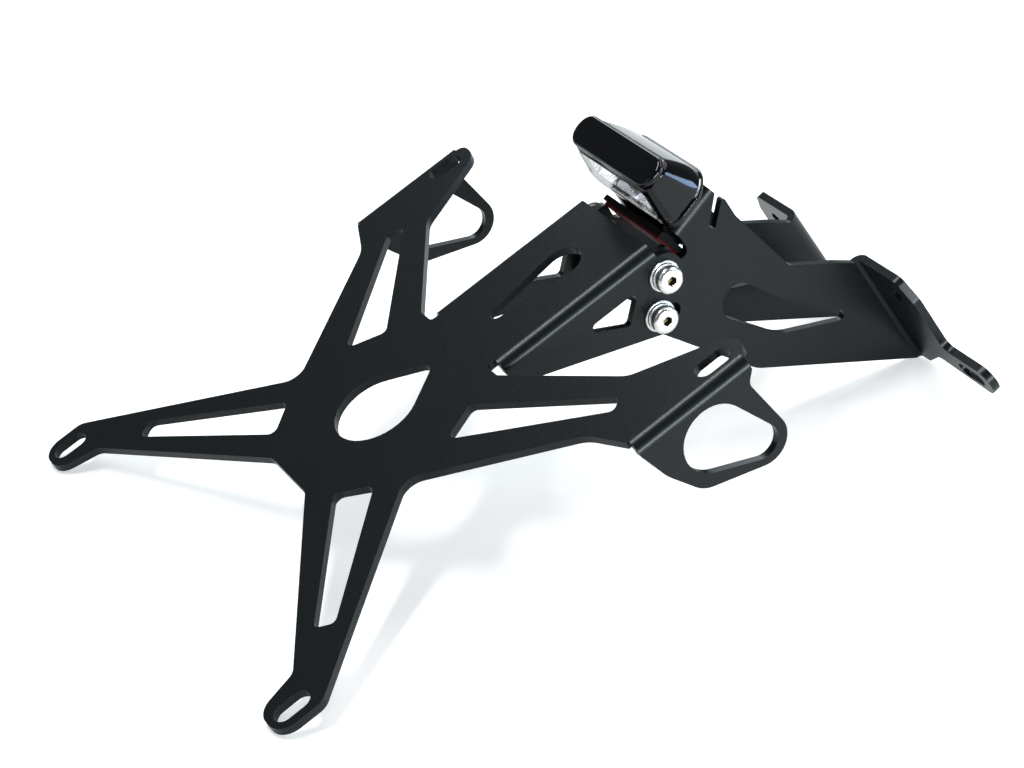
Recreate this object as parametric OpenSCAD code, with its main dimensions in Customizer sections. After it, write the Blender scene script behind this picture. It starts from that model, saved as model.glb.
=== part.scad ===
// Tail tidy: a motorbike number plate holder with a plate light and a red reflector.
// Millimetres. Z is up, X runs across the machine and Y runs from the plate to the tail.
// It stands as it rests on a table; the origin is the bottom centre of its bounding box.

/* [Folded sheets] */
// Thickness of both folded sheets
sheet_t = 2.5; // [2.2:0.1:2.8]
// Inner radius of every fold
bend_r = 1.5; // [1.2:0.1:1.8]

/* [Plate carrier] */
// Width over the two indicator tabs
tab_span = 174.2; // [170:0.2:180]
// Width over the two side flanges of the stem
stem_w = 42.7; // [42:0.1:44]
// Height of the stem's top edge above the middle of the hub
stem_top = 89.3; // [89:0.1:90]
// Height of the indicator tabs' top edge
tab_top = 81.5; // [80.5:0.1:82]
// Width over the two lower arm tips
tip_span = 177.8; // [176:0.2:180]
// Depth of the lower arm tips below the middle of the hub
tip_low = 80.9; // [80:0.1:82]
// Width of the four plate slots
slot_w = 6.4; // [5.4:0.1:6.6]
// Length of the four plate slots, end to end
slot_l = 11.4; // [10:0.1:12.4]
// Distance of the upper slots from the tabs' outer faces
upper_slot_in = 7.8; // [7.6:0.1:8.2]
// Distance of the upper slots from the tabs' top edge
upper_slot_down = 9.5; // [9:0.1:10]
// Distance of the lower slots from the outer edges of the tips
lower_slot_in = 6.3; // [6:0.1:6.6]
// Distance of the lower slots from the lower edge of the tips
lower_slot_up = 7.8; // [7.4:0.1:8.2]
// Radius of the round end of the hub's drop-shaped hole
hub_hole_r = 13.3; // [11:0.1:13.8]
// Radius of the wide end of the stem's drop-shaped slot
stem_hole_r = 6.4; // [5:0.1:7.5]
// Radius of the wide end of each indicator loop's hole
loop_hole_r = 10.3; // [9:0.1:10.6]

/* [Tilt adjustment] */
// Height of the pivot screws along the stem
pivot_y = 88.6; // [88.4:0.1:88.8]
// Depth of the pivot screws behind the plate face
pivot_z = 10.6; // [10.4:0.1:11]
// Distance from the pivot screws to the lock screws
lock_reach = 12.5; // [12.3:0.1:12.9]
// Angle of the lock screws behind the pivot, from straight behind the plate
lock_angle = 33.3; // [32:0.1:34]
// How far the slot lets the plate swing outwards
swing_out = 21; // [15:1:22]
// How far the slot lets the plate swing inwards
swing_in = 4; // [3.5:0.5:5]

/* [Screws] */
// Thread size of the pivot and lock screws
screw_d = 5; // [4.8:0.1:5]
// Diameter of the screw heads
head_d = 8.5; // [8:0.1:9]
// Height of the screw heads
head_h = 4; // [3.4:0.1:5]
// Width of the key socket across its flats
socket_af = 4; // [3:0.1:4.2]
// Outer diameter of the washers
washer_d = 10; // [9.4:0.1:10.2]
// Thickness of the washers
washer_t = 1; // [0.8:0.1:1.4]
// Width of the lock nuts across their flats
nut_af = 8; // [7.4:0.1:8.2]
// Height of the lock nuts
nut_h = 5; // [4:0.1:5.4]

/* [Tail bracket] */
// Tilt of the cross-piece from the plate's own plane
cross_tilt = 18; // [17:0.5:19]
// Near edge of the cross-piece
cross_lo = 3; // [2.8:0.1:3.2]
// Far edge of the cross-piece
cross_hi = 19.2; // [18.8:0.1:19.4]
// Lean of the end flanges from square to the plate face
flange_lean = 6.5; // [5.5:0.1:7.5]
// Length of the fold between each side plate and its end flange
flange_l = 45.9; // [44:0.1:47]
// Distance of the end flanges' ear tips from the middle line
ear_x = 63.4; // [61:0.1:66]
// Width of the end flanges' holes and slots
tail_hole_d = 5.3; // [4.3:0.1:5.5]

/* [Plate light] */
// Width of the light
light_w = 44.8; // [44:0.1:48]
// Height of the light's body above its gasket
light_h = 16.4; // [16.2:0.1:17]
// Thickness of the light's front cap
cap_t = 2.6; // [2:0.1:3.2]
// Thickness of the gasket under the light
gasket_t = 1.4; // [1:0.1:1.6]
// Thickness of the clear lens
lens_t = 1.8; // [1.4:0.1:2]
// Thread size of the light's two studs
stud_d = 4; // [3:0.1:4]

/* [Red reflector] */
// Gap between the reflector and each side plate
refl_gap = 0.35; // [0.3:0.05:1.5]
// Height of the reflector
refl_h = 12.5; // [10.5:0.1:12.5]

/* [Hidden] */

$fn = 48;
cut = 1;
arc_step = 9;

// Outer radius of the folds, and the inner and outer faces that follow from the widths
fold = bend_r + sheet_t;
tab_x = tab_span / 2;
tab_flat = tab_x - fold;
tip_x = tip_span / 2;
stem_x = stem_w / 2;
stem_flat = stem_x - fold;
side_x = stem_x - sheet_t;
side_in = side_x - sheet_t;
side_flat = side_x - fold;

// Folded edges of the carrier: start and end heights
stem_base = 33.8;
relief_h = 3;
tab_low = 40;
tab_fold_top = tab_top - 2.8;

// Far corners of the arms: where each leaves the hub, and how its sides reach the tab or the tip
waist_x = 35.2;
waist_y = 9.2;
hub_low_x = 11.5;
hub_low_y = 31.4;
arm_in = 22;
arm_down = 27.2;
tab_slant = 8.1;
elbow_in = 13.2;
elbow_down = 6.4;
tip_w = 12.7;
tip_h = 14.5;
tip_neck = 4;

// Drop-shaped holes: middle of the wide end, middle of the narrow end and its radius
hub_hole_y = 0.45;
hub_tail_y = 16.3;
hub_tail_r = 3.5;
stem_hole_y = 69.3;
stem_tail_y = 45.3;
stem_tail_r = 2.5;
loop_hole_y = 60.6;
loop_hole_z = -15.3;
loop_tail_y = 71.3;
loop_tail_z = -26.3;
loop_tail_r = 5.5;

// Clearances: running fit, bolt hole, and lock screw in its arc slot, all on the radius
run_fit = 0.06;
bolt_gap = 0.15;
slot_gap = 0.25;

// Overrun of the side plates past the ends of their fold
trim = 0.05;
screw_r = screw_d / 2;
pivot_lobe = pivot_z - fold;
arc_from = lock_angle - swing_out;
arc_to = lock_angle + swing_in;
lock_y = -lock_reach * sin(lock_angle);
lock_z = -lock_reach * cos(lock_angle);
slot_end_y = -lock_reach * sin(arc_from);
slot_end_z = -lock_reach * cos(arc_from);

// Cross-piece of the bracket, in its own frame: across it, up its slope, square to it
cross_y = 8.2;
cross_z = 2.7;
cross_n = 5.6;
cross_under = cross_n - sheet_t;
cross_fold_n = cross_n - fold;
lip_half = 12;
lip_back = 3;
lip_e = cross_lo + lip_back - fold;
lip_low = -6;
lip_gap = 1.4;
stud_x = 9.5;
stud_e = 15.2;
cord_e = 10.9;
cord_hole_r = 4;

// End flanges: top of the fold line, measured from the pivot
flange_y = 57;
flange_z = -42.7;
flange_in = side_x + bend_r;

// Light
light_n = cross_n + gasket_t;
light_lo = 2.6;
light_hi = 21.1;
light_top_n = light_n + light_h;
rim_h = 3.5;
face_lo = 6.4;
face_hi = 16.9;
light_r = 6.6;
foot_out = 0.5;
foot_h = 0.9;
lens_run = sqrt(pow(face_lo - light_lo, 2) + pow(light_h - rim_h, 2));
lens_lean = atan2(light_h - rim_h, face_lo - light_lo);
lens_x = light_w / 2 - 3.1;
lens_gap = 0.2;
ledge = 1.2;
cavity_z = -8.6;
board_t = 1.2;
led_x = 11;

// Reflector
refl_w = 2 * (side_in - refl_gap);
refl_pad_t = 0.8;
refl_floor = 0.9;
refl_rim = 0.8;
refl_n = 6 - refl_h;

// Lowest corner of the side plates and the pose in which the part stands on a table
foot_s = flange_l + trim;
foot_y = pivot_y + flange_y + foot_s * sin(flange_lean) - bend_r * cos(flange_lean);
foot_z = -pivot_z + flange_z - foot_s * cos(flange_lean) - bend_r * sin(flange_lean);
rest_tilt = atan2(-sheet_t - foot_z, foot_y + tip_low);
base_z = tip_low * sin(rest_tilt) + sheet_t * cos(rest_tilt);
heel_y = foot_y + fold * cos(flange_lean);
heel_z = foot_z + fold * sin(flange_lean);
back_y = heel_y * cos(rest_tilt) - heel_z * sin(rest_tilt);
front_y = -tip_low * cos(rest_tilt);
base_y = -(back_y + front_y) / 2;

// Rounded outlines: each point is [x, y, corner radius]
function flat2(v) = [v[0], v[1]];
function unit(v) = v / norm(v);
function turn(a, b) = atan2(a[0] * b[1] - a[1] * b[0], a * b);
function arc_points(c, r, from, sweep) = let(n = max(1, ceil(abs(sweep) / arc_step)))
  [for (i = [0 : n]) c + r * [cos(from + sweep * i / n), sin(from + sweep * i / n)]];
function corner_arc(p, q, s, r) = let(
  a = unit(flat2(p) - flat2(q)), b = unit(flat2(s) - flat2(q)),
  half = acos(max(-1, min(1, a * b))) / 2,
  c = flat2(q) + unit(a + b) * r / sin(half),
  v = flat2(q) + a * r / tan(half) - c, w = flat2(q) + b * r / tan(half) - c)
  arc_points(c, r, atan2(v[1], v[0]), turn(v, w));
function rounded(p) = let(n = len(p)) [for (i = [0 : n - 1])
  each (p[i][2] > 0 ? corner_arc(p[(i + n - 1) % n], p[i], p[(i + 1) % n], p[i][2]) : [flat2(p[i])])];
function mirrored(p) = [for (i = [len(p) - 1 : -1 : 0]) [-p[i][0], p[i][1], p[i][2]]];

// Drop shape: two circles joined by their outer tangents
function drop(c, r, d, s) = let(way = atan2(d[1] - c[1], d[0] - c[0]), open = acos((r - s) / norm(d - c)))
  concat(arc_points(c, r, way + open, 360 - 2 * open), arc_points(d, s, way - open, 2 * open));
function box_outline(x, lo, hi, r) = [[-x, lo, r], [x, lo, r], [x, hi, r], [-x, hi, r]];

// Plate carrier, right half, from the stem's top edge round to the hub's lower edge
carrier_half = [
  [stem_flat, stem_top, 0],
  [stem_flat, stem_base - relief_h, 1.2],
  [stem_x + 2.6, stem_base - relief_h, 2],
  [tab_flat - arm_in, tab_top - arm_down, 8],
  [tab_flat - tab_slant, tab_top, 7],
  [tab_flat, tab_top, 2.6],
  [tab_flat, tab_low - 0.8, 0],
  [tab_flat - elbow_in, tab_low - elbow_down, 12],
  [waist_x, -waist_y, 6],
  [tip_x, tip_h - tip_low, 5],
  [tip_x, -tip_low, 6.2],
  [tip_x - tip_w, -tip_low, 6.2],
  [tip_x - tip_w - tip_neck, tip_h - 1 - tip_low, 4],
  [hub_low_x, -hub_low_y, 5]];
carrier_outline = concat(carrier_half, mirrored(carrier_half));
// Windows in the arms: near corners set from the waist, far corners from the tab and the tip
upper_window = [
  [waist_x - 8.3, waist_y + 10, 2.2],
  [waist_x - 2.2, waist_y - 2, 2.4],
  [tab_flat - arm_in + 8.3, tab_low + 4, 2],
  [tab_flat - arm_in + 5.1, tab_low + 8.2, 2]];
lower_window = [
  [waist_x - 5.9, -waist_y - 7.2, 2.4],
  [tip_x - 22.3, 30.7 - tip_low, 2],
  [tip_x - 26.3, 25.5 - tip_low, 2],
  [waist_x - 15, -waist_y - 16.8, 2.4]];
loop_outline = [
  [tab_low, -fold, 0],
  [43.6, -15, 16],
  [50.6, -27, 9],
  [82.8, -38.9, 8],
  [76, -7.6, 3],
  [tab_fold_top, -fold, 0]];

// Side flange of the stem: its lower edge runs on round the arc slot and up round the pivot
function ray(a) = [cos(a), sin(a)];
function meet(p, a, q, b) = let(d = q - p, u = ray(a), v = ray(b))
  p + u * (d[0] * v[1] - d[1] * v[0]) / (u[0] * v[1] - u[1] * v[0]);
flange_heel = [37.5, -10];
slot_end = [pivot_y + slot_end_y, slot_end_z - pivot_z];
slot_way = slot_end - flange_heel;
lower_way = atan2(slot_way[1], slot_way[0]) - asin(pivot_lobe / norm(slot_way));
outer_way = 90 - arc_from;
outer_point = [pivot_y, -pivot_z] + pivot_lobe * ray(outer_way - 90);
lower_corner = meet(flange_heel, lower_way, outer_point, outer_way);
upper_corner = meet([0, -fold], 0, outer_point, outer_way);
flange_outline = [
  [stem_base, -fold, 0],
  [flange_heel[0], flange_heel[1], 3],
  [lower_corner[0], lower_corner[1], pivot_lobe],
  [upper_corner[0], upper_corner[1], pivot_lobe - 0.8]];
flange_window = [[58.6, -9.2, 1.5], [80, -9.2, 1.5], [72.6, -17.8, 1.5]];

// Tail bracket side plate, measured from the pivot
function cross_point(e, n) = [cross_y + e * cos(cross_tilt) - n * sin(cross_tilt),
  cross_z + e * sin(cross_tilt) + n * cos(cross_tilt), 0];
function fold_point(s, w) = [flange_y + s * sin(flange_lean) + w * cos(flange_lean),
  flange_z - s * cos(flange_lean) + w * sin(flange_lean), 0];
notch_r = 2.5;
notch_y = 8.6;
notch_z = 1.4;
side_outline = [
  cross_point(cross_hi, cross_n + 2),
  cross_point(cross_hi, cross_fold_n),
  [19.4, 1.4, 0.9],
  [21.2, -0.2, 0.9],
  [27.8, 7.8, 0.8],
  [28.6, -0.9, 4],
  [36.6, -28, 4],
  [49.9, -38, 10],
  fold_point(-trim, -bend_r),
  fold_point(-trim, sheet_t + 2),
  fold_point(flange_l + trim, sheet_t + 2),
  fold_point(flange_l + trim, -bend_r),
  [12.8, -51.3, 12],
  [-13.3, -10.3, 5.3],
  [-3.2, 6, 6],
  [notch_y - notch_r, 6, 1.5],
  [notch_y - notch_r, notch_z - notch_r, notch_r * 0.92],
  [notch_y + notch_r, notch_z - notch_r, notch_r * 0.92],
  cross_point(cross_lo, cross_fold_n),
  cross_point(cross_lo, cross_n + 2)];
side_window = [
  [9.3, -25.1, 5.6],
  [19.5, -18.6, 5.6],
  [29.8, -36.2, 16],
  [51.4, -61.4, 1.7],
  [23.8, -46.1, 14]];
ear_lo = 40;
ear_hi = 29;
end_outline = [
  [flange_in, 0, 0],
  [38, 0, 3],
  [42.2, 8, 5],
  [42.2, ear_hi, 3],
  [ear_x, ear_hi + 0.6, 4.6],
  [ear_x - 1.4, ear_lo, 4.6],
  [34.5, ear_lo - 2.6, 5],
  [24, flange_l, 4],
  [flange_in, flange_l, 0]];
ear_slot_x = 52.8;
ear_slot_s = 34.6;
ear_slot_l = 12;
top_hole_x = 32.5;
top_hole_s = 8.6;

// Placement: the standing pose, the pivot line, the cross-piece and the lens face
module standing() translate([0, base_y, base_z]) rotate([rest_tilt, 0, 0]) children();
module at_pivot() translate([0, pivot_y, -pivot_z]) children();
module at_cross() at_pivot() translate([0, cross_y, cross_z]) rotate([cross_tilt, 0, 0]) children();
module at_flange() at_pivot() translate([0, flange_y, flange_z]) rotate([flange_lean - 90, 0, 0]) children();
module at_lens() at_cross() translate([0, light_lo, light_n + rim_h]) rotate([lens_lean, 0, 0]) children();
module flipped(side) mirror([side < 0 ? 1 : 0, 0, 0]) children();
module both() for (side = [-1, 1]) flipped(side) children();

// Building blocks: an upright sheet across X, a quarter fold along Y, a slot and a screw
module upright(x, t, points) translate([x, 0, 0]) rotate([90, 0, 90]) linear_extrude(t) polygon(points);
module sheet(z, t, points) translate([0, 0, z]) linear_extrude(t) polygon(points);
module quarter(x, end, z, length) translate([x, end, z]) rotate([90, 0, 0])
  rotate_extrude(angle = 90) translate([bend_r, 0]) square([sheet_t, length]);
module peg(r, lo, hi) translate([0, 0, lo]) cylinder(r = r, h = hi - lo);
module rod(x, y, z, r, length) translate([x, y, z]) rotate([0, 90, 0]) cylinder(r = r, h = length);
module slot_cut(r, span, lo, hi) {
  for (end = [-1, 1]) translate([0, end * (span / 2 - r), 0]) peg(r, lo, hi);
  translate([-r, r - span / 2, lo]) cube([2 * r, span - 2 * r, hi - lo]);
}

module carrier_sheet() {
  sheet(-sheet_t, sheet_t, rounded(carrier_outline));
  both() {
    quarter(tab_flat, tab_fold_top, -fold, tab_fold_top - tab_low);
    quarter(stem_flat, stem_top, -fold, stem_top - stem_base);
    upright(tab_x - sheet_t, sheet_t, rounded(loop_outline));
    upright(side_x, sheet_t, rounded(flange_outline));
  }
}

// Arc slot in a side flange, centred on the pivot, true round at both ends
module arc_slot() {
  r = screw_r + slot_gap;
  at_pivot() {
    translate([side_x - cut, 0, 0]) rotate([90, 0, 90]) rotate([0, 0, -90 - arc_to])
      rotate_extrude(angle = arc_to - arc_from)
        translate([lock_reach - r, 0]) square([2 * r, sheet_t + 2 * cut]);
    for (a = [arc_from, arc_to])
      rod(side_x - cut, -lock_reach * sin(a), -lock_reach * cos(a), r, sheet_t + 2 * cut);
  }
}

module plate_carrier() color([0.09, 0.09, 0.10]) standing() difference() {
  carrier_sheet();
  sheet(-sheet_t - cut, sheet_t + 2 * cut, drop([0, hub_hole_y], hub_hole_r, [0, hub_tail_y], hub_tail_r));
  sheet(-sheet_t - cut, sheet_t + 2 * cut,
    drop([0, stem_hole_y], stem_hole_r, [0, stem_tail_y], stem_tail_r));
  both() {
    sheet(-sheet_t - cut, sheet_t + 2 * cut, rounded(upper_window));
    sheet(-sheet_t - cut, sheet_t + 2 * cut, rounded(lower_window));
    translate([tab_x - upper_slot_in, tab_top - upper_slot_down, 0])
      slot_cut(slot_w / 2, slot_l, -sheet_t - cut, cut);
    translate([tip_x - lower_slot_in, lower_slot_up - tip_low, 0])
      slot_cut(slot_w / 2, slot_l, -sheet_t - cut, cut);
    upright(tab_x - sheet_t - cut, sheet_t + 2 * cut,
      drop([loop_hole_y, loop_hole_z], loop_hole_r, [loop_tail_y, loop_tail_z], loop_tail_r));
    upright(side_x - cut, sheet_t + 2 * cut, rounded(flange_window));
    at_pivot() rod(side_x - cut, 0, 0, screw_r + run_fit, sheet_t + 2 * cut);
    arc_slot();
  }
}

// Blank of the bracket: a channel under the light, two long sides and two end flanges.
// The outline of the sides then trims it, so that every fold keeps its true round.
leg = 10;
over = 3;
channel_lo = cross_lo - 2.6;
channel_l = cross_hi + over - channel_lo;
module channel() difference() {
  union() {
    translate([-side_x, channel_lo, -leg]) cube([2 * side_x, channel_l, leg + cross_fold_n]);
    translate([-side_flat, channel_lo, 0]) cube([2 * side_flat, channel_l, cross_n]);
    both() translate([side_flat, channel_lo, cross_fold_n]) rotate([-90, 0, 0])
      cylinder(r = fold, h = channel_l);
  }
  translate([-side_in, channel_lo - cut, -leg - cut])
    cube([2 * side_in, channel_l + 2 * cut, leg + cut + cross_fold_n]);
  translate([-side_flat, channel_lo - cut, -leg - cut])
    cube([2 * side_flat, channel_l + 2 * cut, leg + cut + cross_under]);
  both() translate([side_flat, channel_lo - cut, cross_fold_n]) rotate([-90, 0, 0])
    cylinder(r = bend_r, h = channel_l + 2 * cut);
  translate([-lip_half - lip_gap, channel_lo - cut, cross_under - cut])
    cube([2 * (lip_half + lip_gap), cross_lo + lip_back - channel_lo + cut, sheet_t + 2 * cut]);
}
blank_lo = 1.5 * flange_z;
blank_l = 1.2 * flange_l - blank_lo;
blank_w = 1.5 * flange_y;
module end_wedge(wall, top, r, over_x, over_s) {
  far_x = ear_x + 5 + over_x;
  translate([wall, blank_lo - over_s, -blank_w - over_x])
    cube([far_x - wall, blank_l + 2 * over_s, blank_w + over_x - bend_r]);
  translate([flange_in, blank_lo - over_s, -blank_w - over_x])
    cube([far_x - flange_in, blank_l + 2 * over_s, blank_w + over_x + top]);
  translate([flange_in, blank_lo - over_s, -bend_r]) rotate([-90, 0, 0])
    cylinder(r = r, h = blank_l + 2 * over_s);
}
module long_sides() both() difference() {
  at_flange() end_wedge(side_in, sheet_t, fold, 0, 0);
  at_flange() end_wedge(side_x, 0, bend_r, cut, cut);
  at_cross() translate([side_in - cut, channel_lo + 0.4, cross_fold_n - 4])
    cube([sheet_t + 2 * cut, channel_l - 0.9, 30]);
}
module side_prism() at_pivot() upright(-flange_in - 0.5, 2 * flange_in + 1, rounded(side_outline));
module bracket_sheet() {
  intersection() {
    union() {
      at_cross() channel();
      long_sides();
    }
    side_prism();
  }
  both() at_flange() sheet(0, sheet_t, rounded(end_outline));
  at_cross() lip();
}

// Short lip folded down from the cross-piece, which carries the reflector
module lip() {
  translate([-lip_half, lip_e, lip_low]) cube([2 * lip_half, sheet_t, cross_fold_n - lip_low]);
  translate([lip_half, lip_e + fold, cross_fold_n]) rotate([0, 0, -90]) rotate([90, 0, 0])
    rotate_extrude(angle = 90) translate([bend_r, 0]) square([sheet_t, 2 * lip_half]);
}

module tail_bracket() color([0.08, 0.08, 0.09]) standing() difference() {
  bracket_sheet();
  both() {
    at_pivot() {
      upright(side_in - cut, sheet_t + 2 * cut, rounded(side_window));
      rod(side_in - cut, 0, 0, screw_r + bolt_gap, sheet_t + 2 * cut);
      rod(side_in - cut, lock_y, lock_z, screw_r + bolt_gap, sheet_t + 2 * cut);
    }
    at_cross() translate([stud_x, stud_e, 0]) peg(stud_d / 2 + bolt_gap, cross_under - cut, cross_n + cut);
    at_flange() {
      translate([top_hole_x, top_hole_s, 0]) peg(tail_hole_d / 2, -cut, sheet_t + cut);
      translate([ear_slot_x, ear_slot_s, 0]) rotate([0, 0, 90])
        slot_cut(tail_hole_d / 2, ear_slot_l, -cut, sheet_t + cut);
    }
  }
  at_cross() translate([0, cord_e, 0]) peg(cord_hole_r, cross_under - cut, cross_n + cut);
}

// Screw, washer and nut along Z: the screw's head sits on zero and its shank runs down
head_edge = 0.5;
tip_edge = 0.4;
module cap_screw(length) difference() {
  rotate_extrude() polygon([[0, -length], [screw_r - tip_edge, -length], [screw_r, tip_edge - length],
    [screw_r, 0], [head_d / 2, 0], [head_d / 2, head_h - head_edge], [head_d / 2 - head_edge, head_h],
    [0, head_h]]);
  translate([0, 0, head_h * 0.45]) cylinder(d = socket_af / cos(30), h = head_h, $fn = 6);
}
module plain_washer() difference() {
  cylinder(d = washer_d, h = washer_t);
  peg(screw_r + bolt_gap, -cut, washer_t + cut);
}
collar_h = 1;
module lock_nut(af, h, bore) difference() {
  union() {
    cylinder(d = af / cos(30), h = h - collar_h, $fn = 6);
    peg(af / 2 - 0.4, 0, h);
  }
  peg(bore, -cut, h + cut);
}
module on_side(side, y, z, x) standing() flipped(side) at_pivot()
  translate([x, y, z]) rotate([0, 90, 0]) children();
grip = washer_t + 2 * sheet_t;
screw_l = grip + nut_h + 1;
zinc = [0.80, 0.80, 0.79];
steel = [0.72, 0.72, 0.71];
module side_screw(side, y, z) color(zinc) on_side(side, y, z, stem_x + washer_t) cap_screw(screw_l);
module side_washer(side, y, z) color(steel) on_side(side, y, z, stem_x) plain_washer();
module side_nut(side, y, z) color(steel) on_side(side, y, z, side_in) rotate([180, 0, 0])
  lock_nut(nut_af, nut_h, screw_r + run_fit);
module pivot_screw_r() side_screw(1, 0, 0);
module pivot_screw_l() side_screw(-1, 0, 0);
module lock_screw_r() side_screw(1, lock_y, lock_z);
module lock_screw_l() side_screw(-1, lock_y, lock_z);
module pivot_washer_r() side_washer(1, 0, 0);
module pivot_washer_l() side_washer(-1, 0, 0);
module lock_washer_r() side_washer(1, lock_y, lock_z);
module lock_washer_l() side_washer(-1, lock_y, lock_z);
module pivot_nut_r() side_nut(1, 0, 0);
module pivot_nut_l() side_nut(-1, 0, 0);
module lock_nut_r() side_nut(1, lock_y, lock_z);
module lock_nut_l() side_nut(-1, lock_y, lock_z);

// Light body: a rounded block whose near and far sides lean in towards the front
side_profile = [[light_lo, light_n], [light_hi, light_n], [light_hi, light_n + rim_h],
  [face_hi, light_top_n], [face_lo, light_top_n], [light_lo, light_n + rim_h]];
module light_block() intersection() {
  upright(-light_w / 2 - cut, light_w + 2 * cut, side_profile);
  sheet(light_n - cut, light_h + 2 * cut,
    rounded(box_outline(light_w / 2, light_lo - 0.01, light_hi + 0.01, light_r)));
}
stud_depth = 5.5;
module light_body() color([0.03, 0.03, 0.04]) standing() difference() {
  at_cross() {
    light_block();
    sheet(light_n, foot_h, rounded(box_outline(light_w / 2 + foot_out, light_lo + cut,
      light_hi + foot_out, light_r + foot_out)));
  }
  at_lens() {
    sheet(-lens_t, lens_t + 4, rounded(box_outline(lens_x, ledge, lens_run - ledge, 2)));
    sheet(cavity_z, -cavity_z,
      rounded(box_outline(lens_x - ledge, 2 * ledge, lens_run - 2 * ledge, 1.5)));
  }
  at_cross() {
    translate([0, cord_e, 0]) peg(2.2, light_n - cut, light_n + 5);
    both() translate([stud_x, stud_e, 0])
      peg(stud_d / 2 + run_fit, light_n - cut, light_n + stud_depth + 0.3);
  }
}
module light_front() color([0.03, 0.03, 0.04]) standing() at_cross() {
  bead = 0.5;
  sheet(light_top_n, bead, rounded(box_outline(light_w / 2 - 0.8, face_lo + 0.6, face_hi - 0.6, 4.4)));
  sheet(light_top_n + bead, cap_t - bead, rounded(box_outline(light_w / 2, face_lo, face_hi, 5)));
}
module light_lens() color([0.86, 0.90, 0.94]) standing() at_lens()
  sheet(-lens_t, lens_t + 0.3,
    rounded(box_outline(lens_x - lens_gap, ledge + lens_gap, lens_run - ledge - lens_gap, 1.8)));

// Bright bowl behind the lens: a shallow tray with three round windows for the lamps
bowl_x = lens_x - ledge - 0.3;
bowl_lo = 2 * ledge + 0.3;
bowl_hi = lens_run - 2 * ledge - 0.3;
board_top = cavity_z + board_t;
bowl_floor = 0.7;
bowl_wall = 0.8;
lamp_r = 2.6;
module light_bowl() color([0.85, 0.86, 0.88]) standing() at_lens() difference() {
  sheet(board_top, -lens_t - 0.3 - board_top, rounded(box_outline(bowl_x, bowl_lo, bowl_hi, 1.2)));
  sheet(board_top + bowl_floor, 20,
    rounded(box_outline(bowl_x - bowl_wall, bowl_lo + bowl_wall, bowl_hi - bowl_wall, 0.8)));
  for (x = [-led_x, 0, led_x]) translate([x, lens_run / 2, 0])
    peg(lamp_r, board_top - cut, board_top + bowl_floor + cut);
}
module light_board() color([0.10, 0.30, 0.18]) standing() at_lens()
  sheet(cavity_z, board_t, rounded(box_outline(bowl_x, bowl_lo, bowl_hi, 1.2)));
led_size = 2.8;
led_t = 1.1;
module lamp(x) color([0.95, 0.92, 0.70]) standing() at_lens()
  translate([x - led_size / 2, (lens_run - led_size) / 2, board_top]) cube([led_size, led_size, led_t]);
module light_led_r() lamp(led_x);
module light_led_c() lamp(0);
module light_led_l() lamp(-led_x);

gasket_in = 2.2;
module light_gasket() color([0.05, 0.05, 0.05]) standing() at_cross() difference() {
  sheet(cross_n, gasket_t, rounded(box_outline(side_flat, cross_lo + gasket_in, cross_hi - 0.6, 3)));
  translate([0, cord_e, 0]) peg(cord_hole_r - 1, cross_n - cut, light_n + cut);
  both() translate([stud_x, stud_e, 0]) peg(stud_d / 2 + bolt_gap, cross_n - cut, light_n + cut);
}
grommet_lip = 1.3;
module light_grommet() color([0.06, 0.06, 0.06]) standing() at_cross() translate([0, cord_e, 0])
  rotate_extrude() polygon([[2.4, cross_under - grommet_lip], [cord_hole_r + 0.9, cross_under - grommet_lip],
    [cord_hole_r + 0.9, cross_under], [cord_hole_r - 0.05, cross_under], [cord_hole_r - 0.05, cross_n],
    [2.4, cross_n]]);
stud_nut_af = 7;
stud_nut_h = 3.8;
module light_stud(side) color(steel) standing() at_cross() translate([side * stud_x, stud_e, 0])
  peg(stud_d / 2, cross_under - stud_nut_h - 0.8, light_n + stud_depth);
module light_stud_r() light_stud(1);
module light_stud_l() light_stud(-1);
module light_nut(side) color(steel) standing() at_cross() translate([side * stud_x, stud_e, cross_under])
  rotate([180, 0, 0]) lock_nut(stud_nut_af, stud_nut_h, stud_d / 2 + run_fit);
module light_nut_r() light_nut(1);
module light_nut_l() light_nut(-1);

// Red reflector in front of the lip: pad, tray, and a lens with upright ribs
pad_face = lip_e - refl_pad_t;
tray_t = 1.8;
tray_face = pad_face - tray_t;
lens_half = refl_w / 2 - refl_rim;
lens_face = tray_face - 1;
rib_n = 20;
rib_deep = 0.5;
rib_run = 2 * lens_half / rib_n;
rib_line = [for (i = [0 : 2 * rib_n]) [i * rib_run / 2 - lens_half, lens_face + (i % 2 == 0 ? 0 : rib_deep)]];
module reflector_pad() color([0.07, 0.07, 0.07]) standing() at_cross()
  translate([0.6 - lip_half, pad_face, lip_low + 0.4])
    cube([2 * lip_half - 1.2, refl_pad_t, cross_fold_n - lip_low - 0.8]);
module reflector_tray() color([0.05, 0.05, 0.05]) standing() at_cross() difference() {
  translate([-refl_w / 2, tray_face, refl_n]) cube([refl_w, tray_t, refl_h]);
  translate([-lens_half, tray_face - cut, refl_n + refl_rim])
    cube([2 * lens_half, cut + tray_t - refl_floor, refl_h - 2 * refl_rim]);
}
module reflector_lens() color([0.45, 0.02, 0.02]) standing() at_cross()
  sheet(refl_n + refl_rim, refl_h - 2 * refl_rim,
    concat([for (p = rib_line) [p[0] * (1 - 0.15 / lens_half), p[1]]],
      [[lens_half - 0.15, pad_face - refl_floor], [0.15 - lens_half, pad_face - refl_floor]]));

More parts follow.
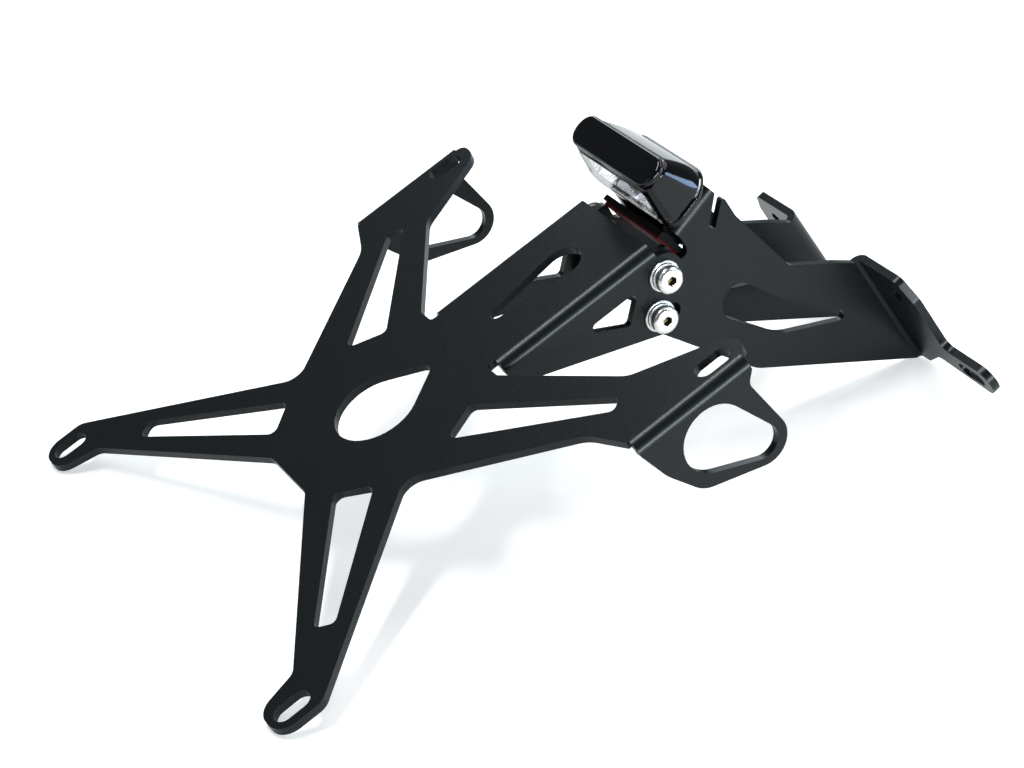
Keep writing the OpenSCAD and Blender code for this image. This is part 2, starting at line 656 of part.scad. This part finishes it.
plate_carrier();
tail_bracket();
pivot_screw_r();
pivot_screw_l();
lock_screw_r();
lock_screw_l();
pivot_washer_r();
pivot_washer_l();
lock_washer_r();
lock_washer_l();
pivot_nut_r();
pivot_nut_l();
lock_nut_r();
lock_nut_l();
light_body();
light_front();
light_lens();
light_bowl();
light_board();
light_led_r();
light_led_c();
light_led_l();
light_gasket();
light_grommet();
light_stud_r();
light_stud_l();
light_nut_r();
light_nut_l();
reflector_lens();
reflector_tray();
reflector_pad();
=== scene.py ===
"""Looks for the tail tidy: powder-coated sheets, plated screws, plate light and red reflector."""

import math

import bmesh
import bpy
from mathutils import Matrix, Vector


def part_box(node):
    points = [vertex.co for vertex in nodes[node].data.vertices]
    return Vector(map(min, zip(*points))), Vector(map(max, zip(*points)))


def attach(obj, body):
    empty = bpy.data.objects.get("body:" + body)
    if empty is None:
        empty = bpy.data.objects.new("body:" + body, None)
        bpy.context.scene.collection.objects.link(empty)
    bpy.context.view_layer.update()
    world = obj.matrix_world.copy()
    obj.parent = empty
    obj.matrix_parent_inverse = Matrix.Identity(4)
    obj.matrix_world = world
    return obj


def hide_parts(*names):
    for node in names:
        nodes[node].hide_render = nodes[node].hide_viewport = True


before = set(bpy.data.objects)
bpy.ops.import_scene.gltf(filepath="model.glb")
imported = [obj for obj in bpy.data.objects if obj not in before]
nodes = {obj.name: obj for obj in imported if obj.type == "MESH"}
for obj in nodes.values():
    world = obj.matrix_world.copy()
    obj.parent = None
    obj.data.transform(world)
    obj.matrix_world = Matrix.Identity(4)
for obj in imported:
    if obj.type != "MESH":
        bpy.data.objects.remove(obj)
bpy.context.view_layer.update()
MM = 0.001


# ---------------------------------------------------------------- helpers
def node_tree(name):
    mat = bpy.data.materials.new(name)
    mat.use_nodes = True
    tree = mat.node_tree
    shader = tree.nodes["Principled BSDF"]
    return mat, tree, shader


def grain(tree, size_mm, detail=3.0):
    """Noise at a real size, from the object's own coordinates."""
    where = tree.nodes.new("ShaderNodeTexCoord")
    noise = tree.nodes.new("ShaderNodeTexNoise")
    noise.inputs["Scale"].default_value = 1.0 / (size_mm * MM)
    noise.inputs["Detail"].default_value = detail
    tree.links.new(where.outputs["Object"], noise.inputs["Vector"])
    return noise


def spread(tree, source, low, high):
    """Maps a noise value to a range."""
    node = tree.nodes.new("ShaderNodeMapRange")
    node.inputs["From Min"].default_value = 0.3
    node.inputs["From Max"].default_value = 0.7
    node.inputs["To Min"].default_value = low
    node.inputs["To Max"].default_value = high
    tree.links.new(source, node.inputs["Value"])
    return node.outputs["Result"]


def tint(tree, source, low, high):
    """Colour between two close tones, driven by a noise value."""
    node = tree.nodes.new("ShaderNodeMix")
    node.data_type = "RGBA"
    node.inputs["A"].default_value = (*low, 1)
    node.inputs["B"].default_value = (*high, 1)
    tree.links.new(source, node.inputs["Factor"])
    return node.outputs["Result"]


def bump(tree, shader, source, height_mm):
    node = tree.nodes.new("ShaderNodeBump")
    node.inputs["Distance"].default_value = height_mm * MM
    node.inputs["Strength"].default_value = 1.0
    tree.links.new(source, node.inputs["Height"])
    tree.links.new(node.outputs["Normal"], shader.inputs["Normal"])


def coated(name, low, high, rough_low, rough_high, level, grain_mm, height_mm):
    """Powder coat, moulded plastic or rubber: two close tones and a fine orange-peel surface."""
    mat, tree, shader = node_tree(name)
    cloud = grain(tree, 9.0)
    fine = grain(tree, grain_mm)
    tree.links.new(tint(tree, cloud.outputs["Fac"], low, high), shader.inputs["Base Color"])
    tree.links.new(spread(tree, fine.outputs["Fac"], rough_low, rough_high), shader.inputs["Roughness"])
    shader.inputs["Specular IOR Level"].default_value = level
    bump(tree, shader, fine.outputs["Fac"], height_mm)
    return mat


def plated(name, low, high, rough_low, rough_high, grain_mm, height_mm):
    """Bright metal with fine brushing."""
    mat, tree, shader = node_tree(name)
    cloud = grain(tree, 2.5)
    fine = grain(tree, grain_mm)
    shader.inputs["Metallic"].default_value = 1.0
    tree.links.new(tint(tree, cloud.outputs["Fac"], low, high), shader.inputs["Base Color"])
    tree.links.new(spread(tree, fine.outputs["Fac"], rough_low, rough_high), shader.inputs["Roughness"])
    bump(tree, shader, fine.outputs["Fac"], height_mm)
    return mat


def clear(name, colour, rough_low, rough_high, ior):
    """Clear plastic with a slightly uneven surface."""
    mat, tree, shader = node_tree(name)
    cloud = grain(tree, 6.0)
    tree.links.new(tint(tree, cloud.outputs["Fac"], colour, tuple(min(1, c * 1.04) for c in colour)),
                   shader.inputs["Base Color"])
    tree.links.new(spread(tree, cloud.outputs["Fac"], rough_low, rough_high), shader.inputs["Roughness"])
    shader.inputs["Transmission Weight"].default_value = 1.0
    shader.inputs["IOR"].default_value = ior
    return mat


def paint(obj, mat):
    obj.data.materials.clear()
    obj.data.materials.append(mat)
    for poly in obj.data.polygons:
        poly.material_index = 0


def rounded_edges(obj, width_mm, segments=2, angle=30):
    """Breaks the sharp edges of a CAD node, as coating or moulding does."""
    weld = obj.modifiers.new("weld", "WELD")
    weld.merge_threshold = 0.002 * MM
    bevel = obj.modifiers.new("edge", "BEVEL")
    bevel.width = width_mm * MM
    bevel.segments = segments
    bevel.limit_method = "ANGLE"
    bevel.angle_limit = math.radians(angle)
    bevel.use_clamp_overlap = True
    bevel.miter_outer = "MITER_ARC"
    smooth = obj.modifiers.new("normals", "WEIGHTED_NORMAL")
    smooth.weight = 90
    smooth.keep_sharp = False


def new_piece(name, verts, faces, mat, body, smooth=True):
    mesh = bpy.data.meshes.new(name)
    mesh.from_pydata(verts, [], faces)
    mesh.validate()
    obj = bpy.data.objects.new(name, mesh)
    bpy.context.scene.collection.objects.link(obj)
    obj.data.materials.append(mat)
    if smooth:
        obj.data.shade_smooth()
    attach(obj, body)
    return obj


def hex_radius(flats, angle):
    """Radius of a hexagon of that width across flats, in that direction."""
    return flats / 2 / math.cos((angle + math.pi / 6) % (math.pi / 3) - math.pi / 6)


def lathe(rows, around, place, sign):
    """Closed ring mesh along X. Each row is (x, radius function), in mm; sign turns it to the left side."""
    verts, faces = [], []
    for x, radius in rows:
        for i in range(around):
            angle = 2 * math.pi * i / around
            r = radius(angle)
            y, z = r * math.cos(angle), r * math.sin(angle)
            verts.append((place[0] + sign * x * MM, place[1] + y * MM, place[2] + z * MM))
    for row in range(len(rows) - 1):
        for i in range(around):
            j = (i + 1) % around
            face = (row * around + i, row * around + j, (row + 1) * around + j, (row + 1) * around + i)
            faces.append(face if sign < 0 else face[::-1])
    return verts, faces


def ring(radius):
    return lambda angle: radius


def arc_rows(x, r, size, start, end, steps):
    """Rows of a rounded edge about (x, r)."""
    rows = []
    for k in range(steps + 1):
        a = math.radians(start + (end - start) * k / steps)
        rows.append((x + size * math.cos(a), ring(r + size * math.sin(a))))
    return rows


def screw_rows(head_r, head_h, shank_r, length, key):
    """Socket screw: head from 0 to head_h, threaded shank down to -length."""
    edge = 1.4
    floor = head_h * 0.42
    pitch, depth = 0.8, 0.32

    def socket(angle):
        return hex_radius(key, angle)

    def thread(x):
        return lambda angle: shank_r - depth * (0.5 - 0.5 * math.cos(2 * math.pi * (x / pitch) - angle))
    rows = [(floor - 0.35, ring(0.02)), (floor, lambda angle: socket(angle) * 0.96), (floor + 0.15, socket),
            (head_h - 0.12, socket), (head_h - 0.02, ring(key / 2 / math.cos(math.pi / 6) + 0.08))]
    rows += [(head_h, ring(key * 0.5 + 0.5))]
    rows += arc_rows(head_h - edge, head_r - edge, edge, 0, 90, 10)
    rows += [(0.35, ring(head_r)), (0.08, ring(head_r - 0.12)), (0.0, ring(head_r - 0.3)),
             (0.0, ring(shank_r))]
    x = -0.6
    while x > -length + 0.5:
        rows.append((x, thread(x)))
        x -= pitch / 8
    rows += [(-length + 0.35, ring(shank_r - 0.25)), (-length, ring(shank_r - 0.7)), (-length, ring(0.02))]
    return rows


def washer_rows(outer, inner, thick):
    """Flat washer with a rounded outer rim and a low step on its face."""
    rows = [(0, ring(inner)), (0, ring(outer - 0.2)), (0.2, ring(outer))]
    rows += arc_rows(thick - 0.4, outer - 0.4, 0.4, 90, 0, 6)
    rows += [(thick, ring(outer - 0.62)), (thick - 0.06, ring(outer - 0.72)),
             (thick - 0.06, ring(inner + 0.15)), (thick - 0.2, ring(inner)), (0, ring(inner))]
    return rows


def nut_rows(flats, height, bore, collar):
    """Lock nut from 0 inwards: chamfered hexagon and a round collar."""
    wide = flats / 2 / math.cos(math.pi / 6)

    def capped(limit):
        return lambda a: min(hex_radius(flats, a), limit)
    hex_h = height - collar
    rows = [(0, ring(bore)), (0, ring(flats / 2 - 0.1)), (0.15, capped(flats / 2 + 0.1)),
            (0.45, capped(wide - 0.12)), (0.7, capped(wide))]
    rows += [(hex_h - 0.7, capped(wide)), (hex_h - 0.35, capped(wide - 0.2)),
             (hex_h - 0.1, capped(flats / 2 + 0.1)), (hex_h, ring(flats / 2 - 0.15)),
             (hex_h + 0.05, ring(flats / 2 - 0.4))]
    rows += arc_rows(height - 0.5, flats / 2 - 0.9, 0.5, 90, 0, 5)
    rows += [(height, ring(bore + 0.9)), (height - 0.25, ring(bore + 0.8)),
             (height - 0.3, ring(bore)), (0, ring(bore))]
    return rows


# Frame of the cross-piece that carries the light: x across, e along it, n out of it, in mm
TILT = math.radians(22.7688)
CROSS = math.radians(18.0)
CROSS_Y, CROSS_Z = 96.8, -7.9
BASE_Y, BASE_Z = -52.466, 33.6146


def from_cross(x, e, n):
    y = CROSS_Y + e * math.cos(CROSS) - n * math.sin(CROSS)
    z = CROSS_Z + e * math.sin(CROSS) + n * math.cos(CROSS)
    return (x * MM, (y * math.cos(TILT) - z * math.sin(TILT) + BASE_Y) * MM,
            (y * math.sin(TILT) + z * math.cos(TILT) + BASE_Z) * MM)


def outline(half, lo, hi, r_lo, r_hi, steps=12):
    """Rounded rectangle in (x, e), with its own radius on the near and the far corners."""
    points = []
    for cx, cy, r, start in ((half - r_hi, hi - r_hi, r_hi, 0), (r_hi - half, hi - r_hi, r_hi, 90),
                             (r_lo - half, lo + r_lo, r_lo, 180), (half - r_lo, lo + r_lo, r_lo, 270)):
        for k in range(steps + 1):
            a = math.radians(start + 90 * k / steps)
            points.append((cx + r * math.cos(a), cy + r * math.sin(a)))
    return points


def loft(sections, into):
    """Closed mesh through outlines with the same number of points; into maps (x, y, z) to the row frame."""
    verts, faces = [], []
    count = len(sections[0][1])
    for height, points in sections:
        verts += [into(x, y, height) for x, y in points]
    for row in range(len(sections) - 1):
        for i in range(count):
            j = (i + 1) % count
            faces.append((row * count + i, row * count + j, (row + 1) * count + j, (row + 1) * count + i))
    faces.append(tuple(range(count))[::-1])
    faces.append(tuple((len(sections) - 1) * count + i for i in range(count)))
    return verts, faces


def scratch(name, verts, faces):
    mesh = bpy.data.meshes.new(name)
    mesh.from_pydata(verts, [], faces)
    obj = bpy.data.objects.new(name, mesh)
    bpy.context.scene.collection.objects.link(obj)
    return obj


def cut_out(obj, cutters):
    """Takes the cutters out of obj and removes them."""
    for cutter in cutters:
        mod = obj.modifiers.new("cut", "BOOLEAN")
        mod.operation = "DIFFERENCE"
        mod.solver = "EXACT"
        mod.object = cutter
    graph = bpy.context.evaluated_depsgraph_get()
    mesh = bpy.data.meshes.new_from_object(obj.evaluated_get(graph))
    obj.modifiers.clear()
    obj.data = mesh
    for cutter in cutters:
        bpy.data.objects.remove(cutter)


# ---------------------------------------------------------------- camera
camera_data = bpy.data.cameras.new("camera")
camera_data.sensor_width = 36.0
camera_data.lens = 97.79
camera_data.clip_start = 0.05
camera_data.clip_end = 20.0
camera = bpy.data.objects.new("camera", camera_data)
bpy.context.scene.collection.objects.link(camera)
camera.location = (0.64659, -0.32011, 0.42336)
camera.rotation_euler = (math.radians(60.9587), math.radians(4.6914), math.radians(61.6359))
bpy.context.scene.camera = camera

# ---------------------------------------------------------------- materials
COAT = coated("powder_coat", (0.0034, 0.0054, 0.0064), (0.0050, 0.0072, 0.0084),
              0.26, 0.35, 0.28, 0.35, 0.004)
LIGHT_BLACK = coated("gloss_black", (0.0012, 0.0012, 0.0020), (0.0018, 0.0018, 0.0028),
                     0.06, 0.10, 0.40, 1.5, 0.0005)
ZINC = plated("zinc_plate", (0.90, 0.89, 0.85), (0.96, 0.95, 0.91), 0.20, 0.32, 0.25, 0.0010)
# Dark brownish metal inside the hex socket: painted shade in the recess of the zinc-plated head
SOCKET_SHADE = plated("painted_socket_shade", (0.10, 0.085, 0.035), (0.17, 0.15, 0.07), 0.35, 0.5, 0.3, 0.002)
WASHER = plated("washer_plate", (0.70, 0.71, 0.72), (0.82, 0.83, 0.84), 0.22, 0.36, 0.3, 0.0012)
BOWL = plated("bright_bowl", (0.86, 0.87, 0.93), (0.94, 0.94, 0.97), 0.06, 0.14, 1.2, 0.0008)
RUBBER = coated("rubber", (0.010, 0.010, 0.010), (0.018, 0.018, 0.018), 0.55, 0.70, 0.4, 0.4, 0.006)
# Black plastic for the reflector tray and the remaining small pieces, darkened further as painted shade
# where the tray lies in shadow
TRAY_BLACK_AND_SHADE = coated("tray_black_and_painted_shade", (0.002, 0.002, 0.002), (0.004, 0.004, 0.004), 0.50, 0.65, 0.12, 0.8, 0.002)
RED = coated("red_lens", (0.060, 0.0012, 0.002), (0.095, 0.002, 0.003), 0.30, 0.42, 0.15, 1.0, 0.001)
BOARD = coated("board_green", (0.010, 0.045, 0.020), (0.016, 0.060, 0.028), 0.30, 0.45, 0.5, 0.5, 0.002)
LED = coated("lamp_yellow", (0.80, 0.70, 0.25), (0.90, 0.82, 0.40), 0.15, 0.25, 0.5, 0.4, 0.001)
GLASS = clear("clear_lens", (0.95, 0.96, 0.99), 0.015, 0.04, 1.55)

paint(nodes["plate_carrier"], COAT)
paint(nodes["tail_bracket"], COAT)
rounded_edges(nodes["plate_carrier"], 0.6, 3)
rounded_edges(nodes["tail_bracket"], 0.6, 3)
for name in nodes:
    if name in ("plate_carrier", "tail_bracket"):
        continue
    if name.startswith(("pivot_", "lock_")):
        paint(nodes[name], ZINC)
    elif name.startswith(("light_stud", "light_nut")):
        paint(nodes[name], WASHER)
    elif name in ("light_body", "light_front"):
        paint(nodes[name], LIGHT_BLACK)
    elif name == "light_lens":
        paint(nodes[name], GLASS)
    elif name == "light_bowl":
        paint(nodes[name], BOWL)
    elif name == "light_board":
        paint(nodes[name], BOARD)
    elif name.startswith("light_led"):
        paint(nodes[name], LED)
    elif name in ("light_gasket", "light_grommet", "reflector_pad"):
        paint(nodes[name], RUBBER)
    elif name == "reflector_lens":
        paint(nodes[name], RED)
    else:
        # remaining pieces take the black plastic with painted shade
        paint(nodes[name], TRAY_BLACK_AND_SHADE)

# ---------------------------------------------------------------- light housing
FOOT, TOP = 8.0, 23.4
LO, HI, LO_TOP, HI_TOP, LEAN = 2.6, 21.1, 6.4, 16.9, 10.5


def housing(n, grow=0.0):
    t = max(0.0, (n - LEAN) / (TOP - LEAN))
    lo, hi = LO + (LO_TOP - LO) * t, HI + (HI_TOP - HI) * t ** 1.35
    depth = hi - lo
    return outline(22.0 - 0.5 * t + grow, lo - min(grow, 0), hi + grow,
                   0.25 * depth + grow, 0.45 * depth + grow)


foot_rim = ((0.0, 0.4), (0.12, 0.7), (0.35, 0.85), (0.65, 0.85), (0.88, 0.7), (1.0, 0.35), (1.15, 0.0))
walls = (9.8, 10.5, 11.5, 12.5, 13.5, 14.5, 15.5, 16.5, 17.5, 18.5, 19.5, 20.5, 21.3, 22.0, 22.6)
sections = [(FOOT + up, housing(FOOT + up, grow)) for up, grow in foot_rim]
sections += [(n, housing(n)) for n in walls]
sections += [(23.1, housing(23.1, -0.1)), (23.3, housing(23.3, -0.35)), (TOP, housing(TOP, -0.7))]
verts, faces = loft(sections, from_cross)
body = scratch("light_housing", verts, faces)
run = math.hypot(LO_TOP - LO, TOP - LEAN)
lean = math.atan2(TOP - LEAN, LO_TOP - LO)


def from_lens(x, y, z):
    return from_cross(x, LO + y * math.cos(lean) - z * math.sin(lean),
                      LEAN + y * math.sin(lean) + z * math.cos(lean))


pocket_x = 22.4 - 3.1
mouth = outline(pocket_x, 1.2, run - 1.2, 2, 2, 6)
verts, faces = loft([(-1.8, mouth), (4.0, mouth)], from_lens)
pocket = scratch("pocket", verts, faces)
inside = outline(pocket_x - 1.2, 2.4, run - 2.4, 1.5, 1.5, 6)
verts, faces = loft([(-8.6, inside), (-1.0, inside)], from_lens)
cavity = scratch("cavity", verts, faces)
cut_out(body, [pocket, cavity])
body.data.materials.append(LIGHT_BLACK)
body.data.shade_smooth()
body.data.set_sharp_from_angle(angle=math.radians(38))
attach(body, "bracket")
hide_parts("light_body")

# Front cap: a groove behind it, round edges and a slightly domed face
def cap(n, grow):
    return n, outline(22.4 + grow, LO_TOP - grow, HI_TOP + grow, 4.9 + grow, 4.9 + grow)


cap_rows = ((23.3, -0.8), (23.8, -0.8), (23.86, -0.45), (23.98, -0.16), (24.2, -0.02), (24.6, 0.0),
            (25.0, -0.03), (25.3, -0.13), (25.55, -0.3), (25.75, -0.55), (25.87, -0.85), (25.93, -1.2),
            (25.96, -1.8), (25.98, -2.6), (26.0, -3.6))
verts, faces = loft([cap(n, grow) for n, grow in cap_rows], from_cross)
front = new_piece("light_cap", verts, faces, LIGHT_BLACK, "bracket")
front.data.set_sharp_from_angle(angle=math.radians(50))
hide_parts("light_front")

# Bright bowl: one faceted cup round each lamp
cells_x, cells_y = 54, 12
bowl_x, bowl_lo, bowl_hi = 17.7, 2.8, run - 2.8
mid = (bowl_lo + bowl_hi) / 2


def cup(x, y):
    near = min((-11.0, 0.0, 11.0), key=lambda c: abs(x - c))
    u, v = abs(x - near) / 5.5, abs(y - mid) / (bowl_hi - mid)
    reach = min(1.0, max(u, v, 0.75 * math.hypot(u, v)))
    return -7.2 + 4.6 * max(0.0, reach - 0.28) ** 1.25 / 0.72 ** 1.25


verts, faces = [], []
for layer in (0, 1):
    for a in range(cells_y + 1):
        for b in range(cells_x + 1):
            x = -bowl_x + 2 * bowl_x * b / cells_x
            y = bowl_lo + (bowl_hi - bowl_lo) * a / cells_y
            z = cup(x, y) + (0.07 if (a + b) % 2 else -0.07) if layer == 0 else cup(x, y) - 0.32
            verts.append(from_lens(x, y, max(z, -7.75)))
row, sheet_n = cells_x + 1, (cells_x + 1) * (cells_y + 1)
for a in range(cells_y):
    for b in range(cells_x):
        i = a * row + b
        faces.append((i, i + 1, i + row + 1, i + row))
        faces.append((sheet_n + i, sheet_n + i + row, sheet_n + i + row + 1, sheet_n + i + 1))
rim = [b for b in range(cells_x)] + [a * row + cells_x for a in range(cells_y)]
rim += [cells_y * row + b for b in range(cells_x, 0, -1)] + [a * row for a in range(cells_y, 0, -1)]
for k, i in enumerate(rim):
    j = rim[(k + 1) % len(rim)]
    faces.append((j, i, sheet_n + i, sheet_n + j))
bowl = new_piece("light_bowl_facets", verts, faces, BOWL, "bracket", smooth=False)
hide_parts("light_bowl")

# Rubber foot under the housing
foot_rows = ((5.6, 0.3), (5.75, 0.6), (6.2, 0.75), (7.0, 0.6), (7.7, 0.3), (8.05, 0.2))
verts, faces = loft([(n, outline(20.4 + grow, 4.4 - grow, 19.6 + grow, 3.4 + grow, 7.2 + grow))
                     for n, grow in foot_rows], from_cross)
foot = new_piece("light_foot", verts, faces, RUBBER, "bracket")
foot.data.set_sharp_from_angle(angle=math.radians(40))
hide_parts("light_gasket")

# ---------------------------------------------------------------- screws, washers and nuts
AROUND, SOCKET_ROWS = 60, 3
for side, sign in (("r", 1), ("l", -1)):
    for where in ("pivot", "lock"):
        for kind, mat in (("screw", ZINC), ("washer", WASHER), ("nut", WASHER)):
            node = f"{where}_{kind}_{side}"
            low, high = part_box(node)
            y, z = (low.y + high.y) / 2, (low.z + high.z) / 2
            outer, inner = (high.x, low.x) if sign > 0 else (low.x, high.x)
            span = abs(outer - inner) / MM
            if kind == "screw":
                head_h = 4.0
                rows = screw_rows((high.z - low.z) / 2 / MM, head_h, 2.48, span - head_h, 2.75)
                seat = outer - sign * head_h * MM
                verts, faces = lathe(rows, AROUND, (seat, y, z), sign)
            elif kind == "washer":
                rows = washer_rows((high.z - low.z) / 2 / MM, 2.65, span)
                verts, faces = lathe(rows, AROUND, (inner, y, z), sign)
            else:
                rows = nut_rows(min(high.y - low.y, high.z - low.z) / MM, span, 2.5, 1.0)
                verts, faces = lathe(rows, 72, (outer, y, z), -sign)
            piece = new_piece(f"{node}_look", verts, faces, mat, "bracket")
            if kind == "screw":
                # the socket faces take the painted shade
                piece.data.materials.append(SOCKET_SHADE)
                for poly in piece.data.polygons:
                    poly.material_index = 1 if poly.index < SOCKET_ROWS * AROUND else 0
            piece.data.set_sharp_from_angle(angle=math.radians(32))
            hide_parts(node)

# ---------------------------------------------------------------- floor and background
def background_seen(tree, in_gloss):
    """1 for camera rays and rays through glass, in_gloss for reflections, 0 for other rays."""
    path = tree.nodes.new("ShaderNodeLightPath")
    gloss = tree.nodes.new("ShaderNodeMath")
    gloss.operation = "MULTIPLY"
    gloss.inputs[1].default_value = in_gloss
    tree.links.new(path.outputs["Is Glossy Ray"], gloss.inputs[0])
    last = gloss.outputs[0]
    for ray in ("Is Camera Ray", "Is Transmission Ray"):
        most = tree.nodes.new("ShaderNodeMath")
        most.operation = "MAXIMUM"
        tree.links.new(path.outputs[ray], most.inputs[0])
        tree.links.new(last, most.inputs[1])
        last = most.outputs[0]
    return last


floor_mat = bpy.data.materials.new("floor")
floor_mat.use_nodes = True
tree = floor_mat.node_tree
shader = tree.nodes["Principled BSDF"]
shader.inputs["Base Color"].default_value = (0.82, 0.82, 0.81, 1)
shader.inputs["Roughness"].default_value = 0.9
shader.inputs["Specular IOR Level"].default_value = 0.0
tree.links.new(background_seen(tree, 0.40), shader.inputs["Emission Strength"])
shader.inputs["Emission Color"].default_value = (0.50, 0.50, 0.50, 1)
bm = bmesh.new()
bmesh.ops.create_grid(bm, x_segments=8, y_segments=8, size=3.0)
floor_mesh = bpy.data.meshes.new("floor")
bm.to_mesh(floor_mesh)
bm.free()
floor = bpy.data.objects.new("floor", floor_mesh)
floor.location = (0, 0, -0.0002)
bpy.context.scene.collection.objects.link(floor)
floor.data.materials.append(floor_mat)

world = bpy.data.worlds.new("studio")
bpy.context.scene.world = world
world.use_nodes = True
tree = world.node_tree
tree.nodes.clear()
out = tree.nodes.new("ShaderNodeOutputWorld")
white = tree.nodes.new("ShaderNodeBackground")
white.inputs["Color"].default_value = (1, 1, 1, 1)
white.inputs["Strength"].default_value = 1.0
soft = tree.nodes.new("ShaderNodeBackground")
soft.inputs["Color"].default_value = (0.80, 0.92, 1.0, 1)
soft.inputs["Strength"].default_value = 0.08
mix = tree.nodes.new("ShaderNodeMixShader")
tree.links.new(background_seen(tree, 0.06), mix.inputs["Fac"])
tree.links.new(soft.outputs[0], mix.inputs[1])
tree.links.new(white.outputs[0], mix.inputs[2])
tree.links.new(mix.outputs[0], out.inputs["Surface"])


def softbox(name, place, aim, size, power, colour=(1, 1, 1)):
    data = bpy.data.lights.new(name, "AREA")
    data.shape = "RECTANGLE"
    data.size, data.size_y = size
    data.energy = power
    data.color = colour
    obj = bpy.data.objects.new(name, data)
    obj.location = place
    obj.rotation_euler = (Vector(aim) - Vector(place)).to_track_quat("-Z", "Y").to_euler()
    bpy.context.scene.collection.objects.link(obj)


centre = (0, 0, 0.04)
softbox("over", (-0.25, -0.28, 1.25), centre, (0.75, 0.15), 10.0, (0.95, 0.98, 1.0))
softbox("window", (1.55, 0.16, 0.32), centre, (1.1, 0.13), 22.0, (0.84, 0.94, 1.0))
softbox("side", (0.75, 1.30, 0.16), centre, (0.75, 0.22), 6.0, (0.45, 0.66, 1.0))
softbox("far", (-1.06, 0.66, 1.05), centre, (1.1, 0.8), 13.0, (0.84, 0.95, 1.0))
softbox("front", (-0.2, -1.4, 0.9), centre, (1.0, 0.7), 1.2, (0.90, 0.96, 1.0))
softbox("back", (0.08, 1.15, 1.15), centre, (1.6, 1.1), 10.0, (1.0, 0.99, 0.96))

scene = bpy.context.scene
scene.view_settings.view_transform = "Standard"
